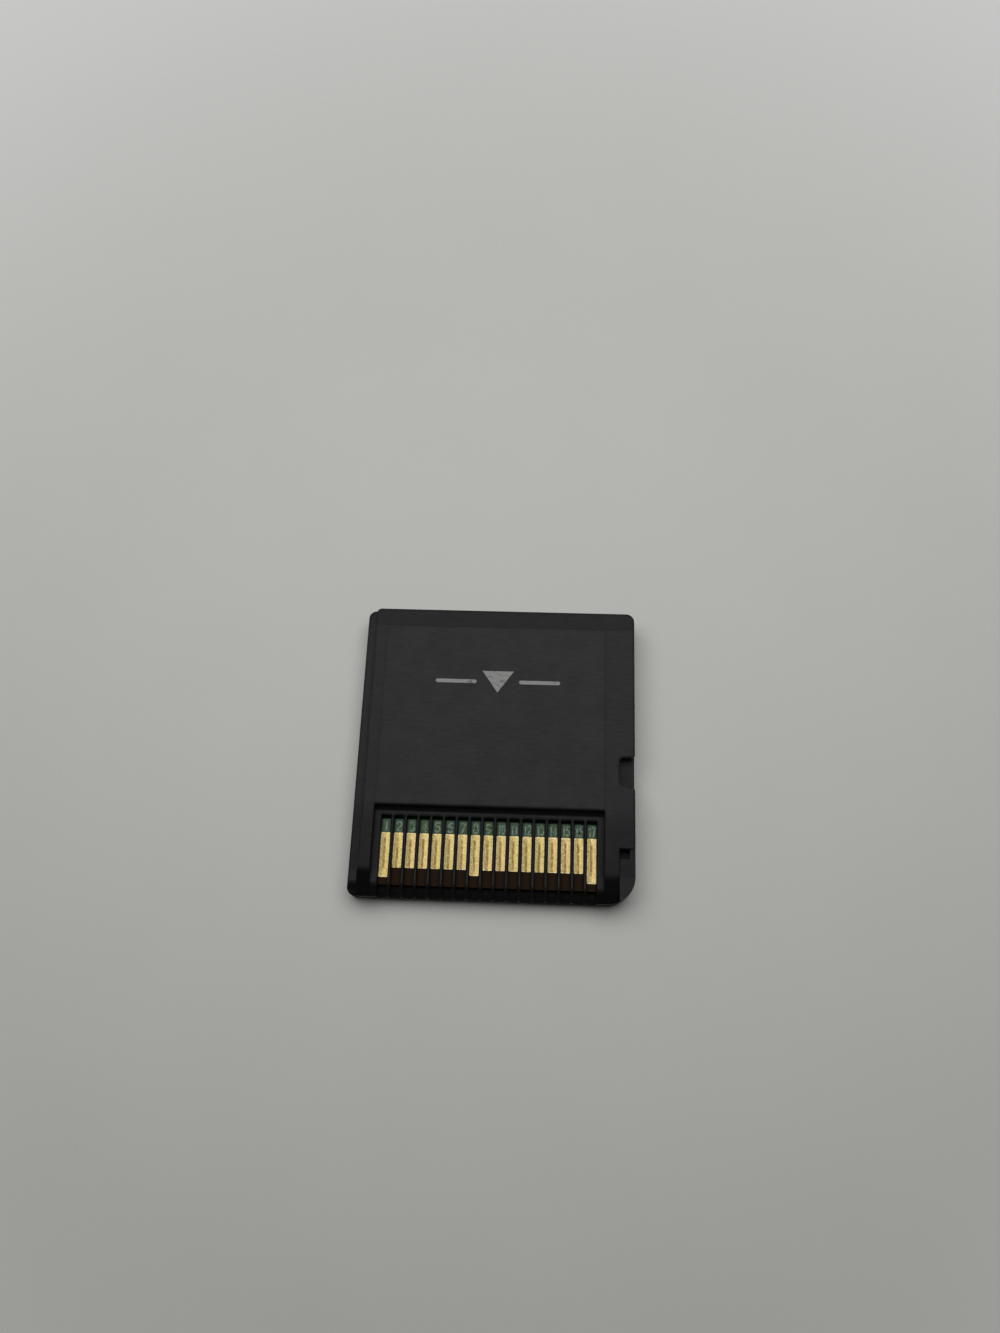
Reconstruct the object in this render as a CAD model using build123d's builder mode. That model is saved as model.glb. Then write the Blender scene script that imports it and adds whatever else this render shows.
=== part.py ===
from build123d import *
import math
import os

# A game card for a handheld console, lying label side down. Sizes are in millimetres.
# X runs across the row of contacts, Y from the contact edge to the grip edge, Z up from the label side.
# The origin is the middle of the label side.

# Row of contacts, which sets the width of the card
contact_count = 17
contact_pitch = 1.5
rib_width = 0.36
rim_width = 0.82
pad_width = 1.07
pad_thickness = 0.05
pad_corner = 0.1
short_pad = 4.05
middle_pad = 4.7
long_pad = 5.15
pad_setback = 7.4

# Strips beside the contact window, from left to right
ledge_width = 1.15
left_shoulder = 1.52
right_shoulder = 1.75
track_width = 1.8

# Levels, stacked from the label side up
floor_thickness = 0.75
chip_room = 1.05
board_thickness = 0.6
slot_depth = 0.6
window_depth = 0.8

# Outline and edges
card_length = 35.0
corner_radius = 1.0
ledge_corner_radius = 0.6
key_corner_radius = 3.1
label_edge_break = 0.3
face_edge_round = 0.2
mouth_break = 0.08
notch_break = 0.12
seam_break = 0.1

# Contact side: window, lead-in slopes, ledge and raised panel
window_length = 10.45
header_length = 1.1
lead_in_length = 3.0
lead_in_drop = 1.1
lead_in_round = 2.0
rib_lead_in_length = 1.5
rib_lead_in_drop = 0.4
ledge_drop = 1.2
ledge_lead_in_length = 1.45
ledge_lead_in_drop = 0.55
panel_step = 0.04
panel_setback = 2.3

# Right edge: latch notch, and the track that leads to it
latch_setback = 13.5
latch_length = 3.35
latch_depth = 1.3
latch_slant = 0.25
latch_round = 0.45
latch_inner_round = 0.5
track_length = 6.15
track_drop = 0.3
track_pit_drop = 1.0
track_pit_width = 1.15
track_pit_ramp = 1.1
track_round = 0.55

# Joint between the two shells
split_height = 1.5
side_wall = 1.9
grip_wall = 2.0
lip_thickness = 0.6
lip_height = 0.4
lip_setback = 3.0
cavity_radius = 0.6
fit_clearance = 0.05

# Sill under the slots, in front of the board
board_setback = 1.4
board_gap = 0.15
sill_drop = 0.55
sill_lead_in_length = 0.7
sill_lead_in_drop = 0.3

# Inside of the contact-side shell
upper_wall = 0.95
bridge_wall = 0.9
brace_count = 2
brace_pitch = 6.5
brace_width = 0.8
brace_length = 18.0
brace_setback = 22.5

# Board and what locates it
board_margin = 1.25
board_room = 3.0
board_corner = 0.5
rail_overlap = 0.8
bar_setback = 3.5
bar_width = 1.6
peg_diameter = 1.2
peg_hole_clearance = 0.1
peg_height = 0.4
post_diameter = 2.4
peg_inset = 3.3
peg_drop = 2.4

# Bare recess of the label side
label_width = 28.0
label_length = 22.5
label_depth = 0.15
label_setback = 2.0
label_corner = 1.0

# Chips and small parts on the label side of the board
chip_standoff = 0.05
chip_thickness = 0.8
chip_chamfer = 0.1
lead_thickness = 0.12
lead_reach = 0.35
lead_foot = 0.45
memory_width = 12.4
memory_length = 9.0
memory_setback = 20.0
memory_lead_count = 12
memory_lead_pitch = 0.9
memory_lead_width = 0.35
save_width = 3.0
save_length = 4.4
save_inset = 5.3
save_lead_count = 4
save_lead_pitch = 0.65
save_lead_width = 0.25
small_parts_setback = 10.0
capacitor_count = 3
capacitor_offset = -7.5
capacitor_pitch = 2.6
capacitor_width = 0.8
capacitor_length = 1.6
capacitor_height = 0.75
resistor_count = 2
resistor_offset = 2.0
resistor_pitch = 2.2
resistor_width = 0.5
resistor_length = 1.0
resistor_height = 0.35
end_cap_share = 0.22
end_cap_step = 0.03

# Levels worked out from the stack
board_bottom = floor_thickness + chip_room
board_top = board_bottom + board_thickness
rib_top = board_top + slot_depth
face_top = rib_top + window_depth
rim_top = face_top - panel_step
ledge_top = rim_top - ledge_drop
sill_top = board_top - sill_drop
chip_top = board_bottom - chip_standoff

# Places across the card
slot_width = contact_pitch - rib_width
row_width = contact_count * contact_pitch - rib_width
middle_pad_number = (contact_count - 1) // 2
window_width = row_width + 2 * rim_width
card_width = ledge_width + left_shoulder + window_width + right_shoulder + track_width
right_edge = card_width / 2
left_edge = -right_edge
ledge_x = left_edge + ledge_width
window_left = ledge_x + left_shoulder
window_right = window_left + window_width
track_x = right_edge - track_width
row_x = (window_left + window_right) / 2
board_width = row_width + 2 * board_margin
board_left = row_x - board_width / 2
board_right = row_x + board_width / 2

# Places along the card
grip_edge = card_length / 2
contact_edge = -grip_edge
window_top = contact_edge + window_length
slot_length = window_length - header_length
board_low = contact_edge + board_setback
board_high = grip_edge - grip_wall - board_room
sill_high = board_low - board_gap
lip_low = contact_edge + lip_setback
bar_low = contact_edge + bar_setback
pad_high = contact_edge + pad_setback
peg_y = board_high - peg_drop
peg_spacing = board_width - 2 * peg_inset
memory_y = contact_edge + memory_setback
small_parts_y = contact_edge + small_parts_setback
cavity_high = grip_edge - grip_wall
cavity_right = right_edge - side_wall

# A tool that cuts past the outside of the card by this much leaves no skin behind
beyond = 2.0

# The mouths of cut-outs flare at this angle, which makes an even break of their edges
mouth_flare = -45

os.makedirs("parts", exist_ok=True)


def keep(piece, name):
    """Label a finished piece and write it to its own file."""
    piece.part.label = name
    export_step(piece.part, f"parts/{name}.step")


def block(left, right, low, high):
    """Draw a rectangle in the current sketch from its four sides."""
    with Locations(((left + right) / 2, (low + high) / 2)):
        return Rectangle(right - left, high - low)


def round_corner(sketch, corner, radius):
    """Round the corner of a sketch that lies nearest to a point."""
    fillet(sketch.vertices().sort_by_distance(corner)[0], radius)


def card_outline():
    """Outline of the card: small corners, and one large corner that keys it in the console."""
    with BuildSketch() as outline:
        Rectangle(card_width, card_length)
        round_corner(outline, (right_edge, contact_edge), key_corner_radius)
        round_corner(outline, (left_edge, contact_edge), corner_radius)
        round_corner(outline, (left_edge, grip_edge), corner_radius)
        round_corner(outline, (right_edge, grip_edge), corner_radius)
    return outline.sketch


def upper_outline():
    """Outline of the contact side above the ledge, which it steps in from."""
    with BuildSketch() as outline:
        block(ledge_x, right_edge, contact_edge, grip_edge)
        round_corner(outline, (right_edge, contact_edge), key_corner_radius)
        round_corner(outline, (right_edge, grip_edge), corner_radius)
        round_corner(outline, (ledge_x, grip_edge), ledge_corner_radius)
    return outline.sketch


def board_outline(margin):
    """Outline of the board, grown by a margin."""
    half = board_width / 2 + margin
    with BuildSketch() as outline:
        block(row_x - half, row_x + half, board_low - margin, board_high + margin)
        fillet(outline.vertices(), board_corner)
    return outline.sketch


def lip_outline(margin):
    """Outside of the joint lip seen from above, grown by a margin."""
    outside = cavity_right + lip_thickness + margin
    with BuildSketch() as lip:
        block(-outside, outside, lip_low - margin, cavity_high + lip_thickness + margin)
        fillet(lip.vertices().group_by(Axis.Y)[-1], cavity_radius + lip_thickness)
    return lip.sketch


def lead_in_profile(top, length, drop):
    """What a slope at the contact edge takes off a face, seen from the side. The slope starts in a round."""
    angle = math.atan2(drop, length)
    start = contact_edge + length + lead_in_round * math.tan(angle / 2)
    with BuildSketch() as profile:
        with BuildLine():
            bend = JernArc((start, top), (-1, 0), lead_in_round, math.degrees(angle))
            Polyline(
                bend @ 1,
                (contact_edge, top - drop),
                (contact_edge, top + beyond),
                (start, top + beyond),
                (start, top),
            )
        make_face()
    return profile.sketch


def peg_places():
    """The two places of the locating pegs."""
    half = peg_spacing / 2
    return [(row_x - half, peg_y), (row_x + half, peg_y)]


# Label-side shell: a tray with a floor, a lip for the joint and seats for the board
with BuildPart() as front_shell:
    with BuildSketch():
        add(card_outline())
    extrude(amount=split_height)
    chamfer(front_shell.edges().group_by(Axis.Z)[0], label_edge_break)
    chamfer(front_shell.edges().group_by(Axis.Z)[-1], seam_break)
    with BuildSketch(Plane.XY.offset(split_height)):
        add(lip_outline(0))
    extrude(amount=lip_height)
    with BuildSketch(Plane.XY.offset(floor_thickness)) as cavity:
        block(-cavity_right, cavity_right, sill_high, cavity_high)
        fillet(cavity.vertices(), cavity_radius)
    extrude(amount=split_height + lip_height, mode=Mode.SUBTRACT)

    # The sill between the window's rims slopes off at the contact edge
    sill_left = row_x - row_width / 2 + fit_clearance
    with BuildSketch(Plane.YZ.offset(sill_left)):
        with BuildLine():
            Polyline(
                (sill_high, split_height - seam_break),
                (sill_high, sill_top),
                (contact_edge + sill_lead_in_length, sill_top),
                (contact_edge, sill_top - sill_lead_in_drop),
                (contact_edge, split_height - seam_break),
                close=True,
            )
        make_face()
    extrude(amount=row_width - 2 * fit_clearance)

    # Side rails, a bar under the contacts and two posts carry the board
    with BuildSketch(Plane.XY.offset(floor_thickness)):
        block(-cavity_right, board_left + rail_overlap, bar_low, board_high)
        block(board_right - rail_overlap, cavity_right, bar_low, board_high)
        block(board_left, board_right, bar_low, bar_low + bar_width)
        with Locations(*peg_places()):
            Circle(post_diameter / 2)
    extrude(amount=chip_room)
    with BuildSketch(Plane.XY.offset(board_bottom)):
        with Locations(*peg_places()):
            Circle(peg_diameter / 2)
    extrude(amount=board_thickness + peg_height)

    # Bare recess of the label side
    with BuildSketch():
        with Locations((0, grip_edge - label_setback - label_length / 2)):
            RectangleRounded(label_width, label_length, label_corner)
    extrude(amount=label_depth, mode=Mode.SUBTRACT)
keep(front_shell, "front_shell")

# Tool for the right-hand track: a flat strip whose inner side dips into a pit below the tooth
with BuildPart() as track_tool:
    track_high = contact_edge + track_length
    with BuildSketch(Plane.XY.offset(rim_top - track_pit_drop)) as track_plan:
        block(track_x, right_edge, contact_edge - beyond, track_high)
        block(right_edge, right_edge + beyond, contact_edge - beyond, track_high + beyond)
        round_corner(track_plan, (right_edge, track_high), track_round)
    extrude(amount=track_pit_drop + beyond)
    with BuildSketch(Plane.YZ.offset(track_x)):
        with BuildLine():
            Polyline(
                (track_high, rim_top - track_pit_drop),
                (track_high - track_pit_ramp, rim_top - track_drop),
                (contact_edge - beyond, rim_top - track_drop),
                (contact_edge - beyond, rim_top - track_pit_drop),
                close=True,
            )
        make_face()
    extrude(amount=track_width + beyond, mode=Mode.SUBTRACT)
    with BuildSketch(Plane.XY.offset(rim_top - track_pit_drop)):
        block(track_x + track_pit_width, right_edge + beyond, contact_edge - beyond, track_high + beyond)
    extrude(amount=track_pit_drop - track_drop, mode=Mode.SUBTRACT)
    with BuildSketch(Plane.XY.offset(rim_top - notch_break)):
        add(track_plan.sketch_local)
    extrude(amount=notch_break, taper=mouth_flare)

# Contact-side shell: face, ledge, window with a comb of ribs, latch notch and track
with BuildPart() as back_shell:
    with BuildSketch(Plane.XY.offset(split_height)):
        add(card_outline())
    extrude(amount=ledge_top - split_height)
    chamfer(back_shell.edges().group_by(Axis.Z)[0], seam_break)
    with BuildSketch(Plane.XY.offset(ledge_top)):
        add(upper_outline())
    extrude(amount=rim_top - ledge_top)
    fillet(back_shell.edges().group_by(Axis.Z)[-1], face_edge_round)

    # The ledge's outer edge is rounded along its whole length
    ledge_round_x = left_edge + face_edge_round
    ledge_round_z = ledge_top - face_edge_round
    with BuildSketch(Plane.XZ.offset(contact_edge)):
        with BuildLine():
            Polyline((left_edge, ledge_round_z), (left_edge, ledge_top), (ledge_round_x, ledge_top))
            CenterArc((ledge_round_x, ledge_round_z), face_edge_round, 90, 90)
        make_face()
    extrude(amount=card_length, mode=Mode.SUBTRACT)

    # A very slightly raised panel above the window
    with BuildSketch(Plane.XY.offset(rim_top)):
        block(window_left, window_right, window_top, grip_edge - panel_setback)
    extrude(amount=panel_step)

    # Slopes at the contact edge lead the card into its slot
    with BuildSketch(Plane.YZ.offset(ledge_x)):
        add(lead_in_profile(rim_top, lead_in_length, lead_in_drop))
    extrude(amount=track_x - ledge_x, mode=Mode.SUBTRACT)
    with BuildSketch(Plane.YZ.offset(left_edge)):
        add(lead_in_profile(ledge_top, ledge_lead_in_length, ledge_lead_in_drop))
    extrude(amount=ledge_width, mode=Mode.SUBTRACT)

    # Window with a broken edge, and one slot for each contact between ribs with broken edges
    with BuildSketch(Plane.XY.offset(rib_top)) as window:
        block(window_left, window_right, contact_edge - beyond, window_top)
    extrude(amount=window_depth, mode=Mode.SUBTRACT)
    with BuildSketch(Plane.XY.offset(rim_top - mouth_break)):
        add(window.sketch_local)
    extrude(amount=panel_step + mouth_break, taper=mouth_flare, mode=Mode.SUBTRACT)
    half_slot = slot_width / 2
    with BuildSketch(Plane.XZ.offset(grip_edge)):
        with Locations((row_x, 0)):
            with GridLocations(contact_pitch, 0, contact_count, 1):
                Polygon(
                    (-half_slot, sill_top),
                    (-half_slot, rib_top - mouth_break),
                    (-half_slot - mouth_break, rib_top),
                    (half_slot + mouth_break, rib_top),
                    (half_slot, rib_top - mouth_break),
                    (half_slot, sill_top),
                    align=None,
                )
    extrude(amount=-slot_length, mode=Mode.SUBTRACT)
    with BuildSketch(Plane.YZ.offset(window_left)):
        add(lead_in_profile(rib_top, rib_lead_in_length, rib_lead_in_drop))
    extrude(amount=window_width, mode=Mode.SUBTRACT)

    # Latch notch, with rounded corners and a slanted lower wall
    latch_low = contact_edge + latch_setback
    latch_high = latch_low + latch_length
    with BuildSketch(Plane.XY.offset(rim_top - latch_depth)) as latch:
        with BuildLine():
            Polyline(
                (track_x, latch_high),
                (track_x, latch_low),
                (right_edge, latch_low - latch_slant),
                (right_edge, latch_high),
                close=True,
            )
        make_face()
        block(right_edge, right_edge + beyond, latch_low - beyond, latch_high + beyond)
        round_corner(latch, (right_edge, latch_high), latch_round)
        round_corner(latch, (right_edge, latch_low - latch_slant), latch_round)
        round_corner(latch, (track_x, latch_high), latch_inner_round)
        round_corner(latch, (track_x, latch_low), latch_inner_round)
    extrude(amount=latch_depth, mode=Mode.SUBTRACT)
    with BuildSketch(Plane.XY.offset(rim_top - notch_break)):
        add(latch.sketch_local)
    extrude(amount=notch_break, taper=mouth_flare, mode=Mode.SUBTRACT)
    add(track_tool.part, mode=Mode.SUBTRACT)

    # Hollow above the board, and the rebate, pocket and opening that the other pieces fit
    with BuildSketch(Plane.XY.offset(split_height)) as hollow:
        block(ledge_x + upper_wall, track_x - upper_wall, window_top + bridge_wall, cavity_high)
        fillet(hollow.vertices(), cavity_radius)
    extrude(amount=rib_top - split_height, mode=Mode.SUBTRACT)
    with BuildSketch(Plane.XY.offset(split_height)):
        add(lip_outline(fit_clearance))
    extrude(amount=lip_height + fit_clearance, mode=Mode.SUBTRACT)
    with BuildSketch(Plane.XY.offset(split_height)):
        add(board_outline(fit_clearance))
    extrude(amount=board_top - split_height, mode=Mode.SUBTRACT)
    with BuildSketch(Plane.XY.offset(split_height)):
        block(row_x - row_width / 2, row_x + row_width / 2, contact_edge, board_low)
    extrude(amount=sill_top - split_height, mode=Mode.SUBTRACT)

    # Braces press the board down on its posts
    with BuildSketch(Plane.XY.offset(board_top)):
        with Locations((row_x, contact_edge + brace_setback)):
            with GridLocations(0, brace_pitch, 1, brace_count):
                Rectangle(brace_length, brace_width)
    extrude(amount=rib_top - board_top)
keep(back_shell, "back_shell")

# Circuit board, with a hole for each peg
with BuildPart() as circuit_board:
    with BuildSketch(Plane.XY.offset(board_bottom)):
        add(board_outline(0))
        with Locations(*peg_places()):
            Circle(peg_diameter / 2 + peg_hole_clearance, mode=Mode.SUBTRACT)
    extrude(amount=board_thickness)
keep(circuit_board, "circuit_board")

# Contacts: the first and last meet the console's springs first, then the middle one, then the rest
for number in range(1, contact_count + 1):
    if number in (1, contact_count):
        pad_length = long_pad
    elif number == middle_pad_number:
        pad_length = middle_pad
    else:
        pad_length = short_pad
    pad_x = row_x + (number - (contact_count + 1) / 2) * contact_pitch
    with BuildPart() as contact:
        with BuildSketch(Plane.XY.offset(board_top)):
            with Locations((pad_x, pad_high - pad_length / 2)):
                RectangleRounded(pad_width, pad_length, pad_corner)
        extrude(amount=pad_thickness)
    keep(contact, f"contact_{number:02d}")


def make_chip(name, place, width, length):
    """A moulded chip under the board."""
    with BuildPart() as chip:
        with BuildSketch(Plane.XY.offset(chip_top)):
            with Locations(place):
                Rectangle(width, length)
        extrude(amount=-chip_thickness)
        chamfer(chip.edges().group_by(Axis.Z)[0], chip_chamfer)
    keep(chip, name)


def make_leads(name, place, length, count, pitch, width):
    """Bent legs along two sides of a chip, from the middle of its side up to the board."""
    x, y = place
    middle = chip_top - chip_thickness / 2
    foot = board_bottom - lead_thickness / 2
    start = y + length / 2
    columns = [x + (index - (count - 1) / 2) * pitch for index in range(count)]
    with BuildPart() as leads:
        with BuildSketch(*[Plane.YZ.offset(column) for column in columns]):
            with BuildLine():
                Polyline(
                    (start, middle),
                    (start + lead_reach, middle),
                    (start + lead_reach, foot),
                    (start + lead_reach + lead_foot, foot),
                )
            trace(line_width=lead_thickness)
        extrude(amount=width / 2, both=True)
        mirror(about=Plane.XZ.offset(-y))
    keep(leads, name)


def make_small_part(name, place, width, length, height):
    """A capacitor or resistor: a block whose metal end caps stand a little proud."""
    x, y = place
    cap = length * end_cap_share
    with BuildPart() as small_part:
        with BuildSketch(Plane.XY.offset(board_bottom - end_cap_step)):
            with Locations((x, y)):
                Rectangle(width - 2 * end_cap_step, length - cap)
        extrude(amount=end_cap_step * 2 - height)
        with BuildSketch(Plane.XY.offset(board_bottom)):
            with Locations((x, y)):
                with GridLocations(0, length - cap, 1, 2):
                    Rectangle(width, cap)
        extrude(amount=-height)
    keep(small_part, name)


memory_place = (row_x, memory_y)
save_place = (board_right - save_inset, small_parts_y)
make_chip("memory_chip", memory_place, memory_width, memory_length)
make_leads(
    "memory_chip_leads", memory_place, memory_length, memory_lead_count, memory_lead_pitch, memory_lead_width
)
make_chip("save_chip", save_place, save_width, save_length)
make_leads("save_chip_leads", save_place, save_length, save_lead_count, save_lead_pitch, save_lead_width)
for index in range(capacitor_count):
    place = (row_x + capacitor_offset + index * capacitor_pitch, small_parts_y)
    make_small_part(f"capacitor_{index + 1}", place, capacitor_width, capacitor_length, capacitor_height)
for index in range(resistor_count):
    place = (row_x + resistor_offset + index * resistor_pitch, small_parts_y)
    make_small_part(f"resistor_{index + 1}", place, resistor_width, resistor_length, resistor_height)
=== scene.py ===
# %% [markdown]
# # A game card on a pale table
#
# The card lies with its contacts up: two halves of charcoal plastic, a comb of ribs, and seventeen gold
# pads on a green board. Its solids are finished already, so this lesson is about surfaces: what moulded
# plastic, solder mask and worn gold look like, and how a few lines of shader arithmetic say so.

# %% Load the solids
import math

import bpy
import numpy as np
from mathutils import Matrix, Vector


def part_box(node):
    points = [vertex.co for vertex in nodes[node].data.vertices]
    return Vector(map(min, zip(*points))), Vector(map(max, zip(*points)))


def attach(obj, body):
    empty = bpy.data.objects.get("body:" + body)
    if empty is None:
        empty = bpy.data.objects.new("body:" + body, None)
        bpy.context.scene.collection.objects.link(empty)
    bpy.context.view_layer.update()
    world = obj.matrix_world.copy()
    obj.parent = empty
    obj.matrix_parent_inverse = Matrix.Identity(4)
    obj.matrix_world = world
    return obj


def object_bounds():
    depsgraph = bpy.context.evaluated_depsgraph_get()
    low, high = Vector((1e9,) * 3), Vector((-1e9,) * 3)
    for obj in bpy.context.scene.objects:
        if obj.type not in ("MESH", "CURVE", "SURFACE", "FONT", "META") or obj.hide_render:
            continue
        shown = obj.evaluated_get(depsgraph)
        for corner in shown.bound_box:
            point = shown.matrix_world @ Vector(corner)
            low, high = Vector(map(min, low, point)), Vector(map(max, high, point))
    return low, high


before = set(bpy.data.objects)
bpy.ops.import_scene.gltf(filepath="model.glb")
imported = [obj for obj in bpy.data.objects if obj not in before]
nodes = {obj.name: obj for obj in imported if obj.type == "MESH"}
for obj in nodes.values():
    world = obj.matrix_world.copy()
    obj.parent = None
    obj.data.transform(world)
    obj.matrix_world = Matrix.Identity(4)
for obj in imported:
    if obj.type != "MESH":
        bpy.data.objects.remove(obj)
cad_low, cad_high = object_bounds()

print("solids", len(nodes), "from", tuple(cad_low), "to", tuple(cad_high))

# %% [markdown]
# ## Measures
#
# A pattern that has to meet a pad or a rib could be placed by eye, but then it would be wrong as soon as
# the card changes. So it is worked out from the solids. Lengths are in millimetres here, because the card
# is a few centimetres across, and they become Blender's metres where a mesh or a node needs them.

# %% Read the measures of the card
MM = 0.001


def box_mm(node):
    """Lowest and highest corner of a solid, in millimetres."""
    return [np.array(corner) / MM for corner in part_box(node)]


pad_names = sorted(name for name in nodes if name.startswith("contact_"))
pad_boxes = np.array([box_mm(name) for name in pad_names])
pad_middles = pad_boxes[:, :, 0].mean(axis=1)
pitch = np.diff(pad_middles).mean()
row_x = pad_middles.mean()
pad_high = pad_boxes[0, 1, 1]
pad_low = pad_boxes[:, 0, 1].max()
board_low, board_high = box_mm("circuit_board")
board_top = board_high[2]
face_top = cad_high.z / MM
print("pads", len(pad_names), "at a pitch of", round(pitch, 3), "mm, upper ends at", round(pad_high, 3), "mm")

# %% [markdown]
# ## A small language for finishes
#
# A material is a graph of nodes, and arithmetic in it takes many nodes. Wiring them one by one hides the
# idea, so a class wraps a socket and turns +, -, * and the like into Math nodes.


# %% Arithmetic on a surface
class Value:
    """A number or a vector that varies over a surface. Arithmetic on it adds Math nodes to its graph."""

    def __init__(self, graph, socket):
        self.graph = graph
        self.socket = socket

    def __add__(self, other):
        return self.graph.maths("ADD", self, other)

    __radd__ = __add__

    def __sub__(self, other):
        return self.graph.maths("SUBTRACT", self, other)

    def __rsub__(self, other):
        return self.graph.maths("SUBTRACT", other, self)

    def __mul__(self, other):
        return self.graph.maths("MULTIPLY", self, other)

    __rmul__ = __mul__

    def __mod__(self, other):
        return self.graph.maths("FLOORED_MODULO", self, other)

    def __abs__(self):
        return self.graph.maths("ABSOLUTE", self)

    def swing(self, width):
        """A noise about one half, made a swing about 0 of the given width."""
        return (self - 0.5) * width


print("values add Math nodes for + - * % abs and swing")

# %% [markdown]
# Every other kind of node comes from one method, which sets the node's own settings first and its sockets
# after that. Soft steps, bands and mixed colours are then one line each. A Mix node has sockets for
# numbers, vectors and colours side by side, all with the same names, so the ones for colours are picked
# by their place in the row.

# %% A graph of nodes
MIX_SHARE, MIX_FIRST, MIX_SECOND, MIX_RESULT = 0, 6, 7, 2
SEEN_RAYS = ("Is Camera Ray", "Is Glossy Ray", "Is Transmission Ray")


class Graph:
    """The nodes of a material or a world under construction."""

    def __init__(self, tree):
        self.tree = tree
        self.tree.nodes.clear()

    def node(self, kind, settings=(), sockets=(), output=0):
        """Add a node: its settings first, then the values or links of its sockets. Gives back one output."""
        node = self.tree.nodes.new("ShaderNode" + kind)
        for name, value in dict(settings).items():
            setattr(node, name, value)
        for name, value in dict(sockets).items():
            if isinstance(value, Value):
                self.tree.links.new(value.socket, node.inputs[name])
            else:
                node.inputs[name].default_value = value
        return Value(self, node.outputs[output] if node.outputs else None)

    def maths(self, operation, *values):
        """One Math node."""
        return self.node("Math", {"operation": operation}, enumerate(values))

    def largest(self, first, *others):
        """The largest of several values."""
        for other in others:
            first = self.maths("MAXIMUM", first, other)
        return first

    def rise(self, value, low, high):
        """0 below low, 1 above high, and a smooth step between them."""
        sockets = {"Value": value, "From Min": low, "From Max": high}
        return self.node("MapRange", {"interpolation_type": "SMOOTHSTEP"}, sockets)

    def fall(self, value, low, high):
        """1 below low, 0 above high, and a smooth step between them."""
        return 1 - self.rise(value, low, high)

    def band(self, value, low, high, soft):
        """1 between low and high, falling to 0 over a soft width outside them."""
        return self.rise(value, low - soft, low) * self.fall(value, high, high + soft)

    def mix(self, share, first, second):
        """A colour that goes from the first to the second as the share goes from 0 to 1."""
        ends = [end if isinstance(end, Value) else (*end, 1) for end in (first, second)]
        sockets = {MIX_SHARE: share, MIX_FIRST: ends[0], MIX_SECOND: ends[1]}
        return self.node("Mix", {"data_type": "RGBA"}, sockets, MIX_RESULT)

    def parts(self, vector):
        """The X, Y and Z of a vector."""
        split = self.node("SeparateXYZ", sockets={"Vector": vector})
        return [Value(self, socket) for socket in split.socket.node.outputs]

    def seen(self):
        """1 for what is seen straight, mirrored or through glass, and 0 for light that lands on a surface."""
        straight, mirrored, through = [self.node("LightPath", output=ray) for ray in SEEN_RAYS]
        return self.maths("MINIMUM", straight + mirrored + through, 1)


print("a graph tells", len(SEEN_RAYS), "kinds of ray from the light that lands on a surface")

# %% [markdown]
# A finish is the graph of one material. It adds what surfaces need: the place on the piece, noise,
# rounded edges, bumps and the shader itself. All patterns read the place in millimetres, so a size in the
# code is a size on the card. Edges are found by comparing two normals: the true one, and one that a Bevel
# node has rounded off.

# %% A finish
BEVEL_SAMPLES = 6


class Finish(Graph):
    """A material under construction."""

    def __init__(self, name):
        self.material = bpy.data.materials.new(name)
        self.material.use_nodes = True
        super().__init__(self.material.node_tree)

    def place(self):
        """Place on the piece, in millimetres."""
        point = self.node("TexCoord", output="Object")
        return self.node("VectorMath", {"operation": "SCALE"}, {0: point, "Scale": 1 / MM})

    def normal(self):
        """The true normal of the surface."""
        return self.node("NewGeometry", output="Normal")

    def noise(self, place, size, turn=0.0, shift=0.0, detail=2.0):
        """Cloudy noise from 0 to 1. Its clouds have one size, or three along X, Y and Z once turned about Z.

        A shift moves the whole pattern, so that two noises of like size aren't the same.
        """
        sizes = np.broadcast_to(size, 3).astype(float).tolist()
        sockets = {"Vector": place, "Location": [shift] * 3, "Rotation": (0, 0, turn), "Scale": sizes}
        point = self.node("Mapping", {"vector_type": "TEXTURE"}, sockets)
        return self.node("TexNoise", (), {"Vector": point, "Scale": 1.0, "Detail": detail})

    def rounded(self, radius):
        """The surface normal with edges rounded off over a radius in millimetres."""
        return self.node("Bevel", {"samples": BEVEL_SAMPLES}, {"Radius": radius * MM})

    def edges(self, rounded, low, high):
        """1 along edges, where the rounded normal leaves the true one, and 0 on flat faces."""
        ends = {0: rounded, 1: self.normal()}
        same = self.node("VectorMath", {"operation": "DOT_PRODUCT"}, ends, "Value")
        return self.rise(1 - same, low, high)

    def bump(self, height, depth, normal=None):
        """The normal of a surface raised by a height from 0 to 1 that stands for a depth in millimetres."""
        sockets = {"Strength": 1.0, "Distance": depth * MM, "Height": height}
        if normal is not None:
            sockets["Normal"] = normal
        return self.node("Bump", (), sockets)

    def principled(self, **sockets):
        """A Principled shader. Words in a socket's name are joined by _ here."""
        named = {name.replace("_", " "): value for name, value in sockets.items()}
        return self.node("BsdfPrincipled", (), named)

    def close(self, shader):
        """Lead a shader to the material's output. Gives back the material."""
        self.node("OutputMaterial", (), {"Surface": shader})
        print("finish", self.material.name, "of", len(self.tree.nodes), "nodes")
        return self.material

    def surface(self, **sockets):
        """The material of one Principled shader."""
        return self.close(self.principled(**sockets))


print("edges are rounded with", BEVEL_SAMPLES, "samples")

# %% [markdown]
# ## Camera
#
# The card is seen from about twelve centimetres above its contact edge. A camera could be turned by three
# angles, but they are hard to picture. A place for the lens, a point on the table that it looks at and a
# small turn about the line between them say the same in plain measures. The focal length is written in
# pixels of the picture. The sensor, which spans the picture's longer side, turns it into the lens that
# Blender asks for.

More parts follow.
